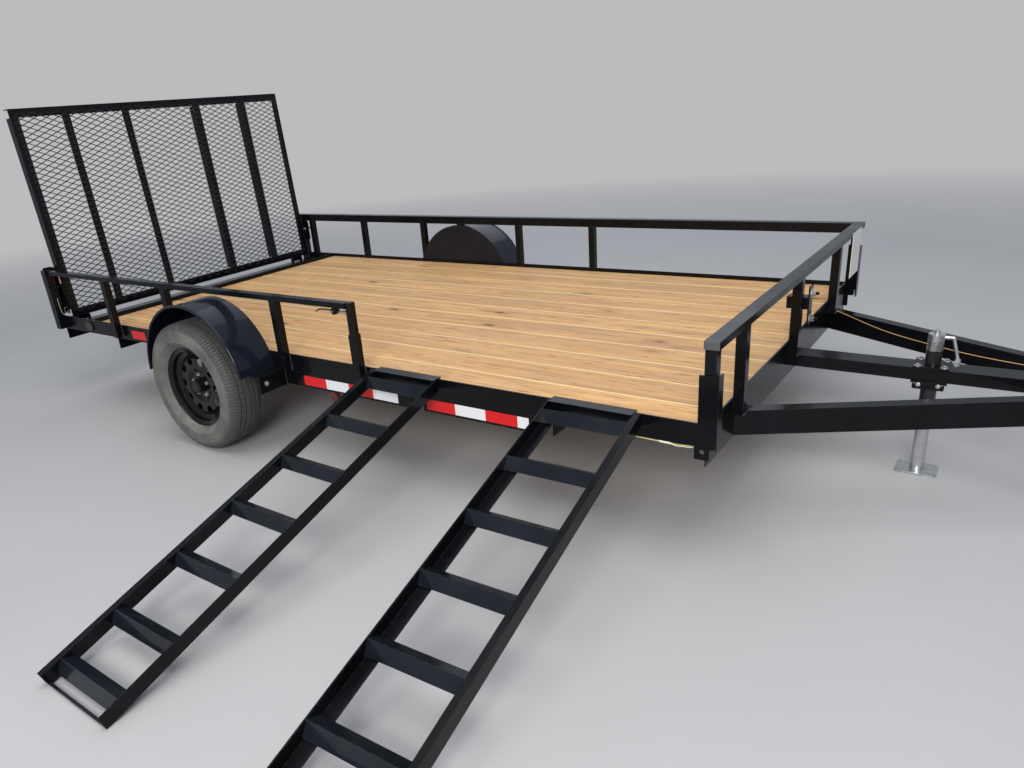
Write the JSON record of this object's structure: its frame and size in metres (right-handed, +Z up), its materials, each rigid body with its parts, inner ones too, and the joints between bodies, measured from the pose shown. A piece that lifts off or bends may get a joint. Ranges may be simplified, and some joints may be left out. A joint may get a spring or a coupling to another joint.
{
  "type": "utility trailer",
  "caption": "Open utility trailer with timber deck, tube rails, lift-up mesh rear gate, two side ramps, round fenders, A-frame tongue and screw jack.",
  "frame": {"origin": "centre of the coupler's ball socket", "axes": "+X forwards along the tongue, +Y to the trailer's left, +Z up"},
  "size_m": [5.6261, 3.9377, 1.7461],
  "materials": {
    "black_powder_coat": "gloss",
    "zinc_plate": "satin",
    "pine_boards": "matte",
    "tyre_rubber": "matte",
    "lamp_lens": "gloss",
    "white_panel": "satin"
  },
  "bodies": {
    "chassis": {"axle": "black_powder_coat", "corner_brackets": "black_powder_coat", "corner_tabs": "black_powder_coat", "coupler": "zinc_plate", "coupler_latch": "zinc_plate", "cross_members": "black_powder_coat", "deck_boards": "pine_boards", "deck_end_angles": "black_powder_coat", "fender_brackets": "black_powder_coat", "fenders": "black_powder_coat", "front_frame": "black_powder_coat", "front_panel": "white_panel", "gate_hinge_lugs": "black_powder_coat", "gate_latches": "black_powder_coat", "jack_head": "zinc_plate", "jack_plates": "black_powder_coat", "jack_tube": "black_powder_coat", "lamps": "lamp_lens", "leaf_springs": "black_powder_coat", "lower_side_bars": "black_powder_coat", "posts_corner": "black_powder_coat", "posts_front": "black_powder_coat", "posts_side": "black_powder_coat", "rail_caps": "black_powder_coat", "rail_front": "black_powder_coat", "rails_side": "black_powder_coat", "side_frames": "black_powder_coat", "spare_carrier": "black_powder_coat", "spring_hangers": "black_powder_coat", "tongue_beam_center": "black_powder_coat", "tongue_side_beams": "black_powder_coat"},
    "wheel_left": {"hub_left": "black_powder_coat", "rim_left": "black_powder_coat", "tyre_left": "tyre_rubber"},
    "wheel_right": {"hub_right": "black_powder_coat", "rim_right": "black_powder_coat", "tyre_right": "tyre_rubber"},
    "gate": {"gate_barrels": "black_powder_coat", "gate_cross_bars": "black_powder_coat", "gate_mesh": "black_powder_coat", "gate_uprights": "black_powder_coat"},
    "ramp_rear": {"ramp_rear_lip": "black_powder_coat", "ramp_rear_rails": "black_powder_coat", "ramp_rear_rungs": "black_powder_coat"},
    "ramp_front": {"ramp_front_lip": "black_powder_coat", "ramp_front_rails": "black_powder_coat", "ramp_front_rungs": "black_powder_coat"},
    "jack_leg": {"jack_leg": "zinc_plate"}
  },
  "joints": [
    {"name": "wheel_left_spin", "type": "hinge", "parent": "chassis", "child": "wheel_left", "pos_m": [-3.92, 1.177, -0.103], "axis": [0, 1, 0], "continuous": true},
    {"name": "wheel_right_spin", "type": "hinge", "parent": "chassis", "child": "wheel_right", "pos_m": [-3.92, -1.177, -0.103], "axis": [0, 1, 0], "continuous": true},
    {"name": "gate_hinge", "type": "hinge", "parent": "chassis", "child": "gate", "pos_m": [-5.53, 0, 0.038], "axis": [0, -1, 0], "range_deg": [0, 108]},
    {"name": "ramp_rear_hinge", "type": "hinge", "parent": "chassis", "child": "ramp_rear", "pos_m": [-2.68, -1.034, 0.078], "axis": [-1, 0, 0], "range_deg": [0, 35]},
    {"name": "ramp_front_hinge", "type": "hinge", "parent": "chassis", "child": "ramp_front", "pos_m": [-1.717, -1.034, 0.078], "axis": [-1, 0, 0], "range_deg": [0, 35]},
    {"name": "jack_slide", "type": "slide", "parent": "chassis", "child": "jack_leg", "axis": [0, 0, 1], "range_m": [0, 0.26]}
  ]
}
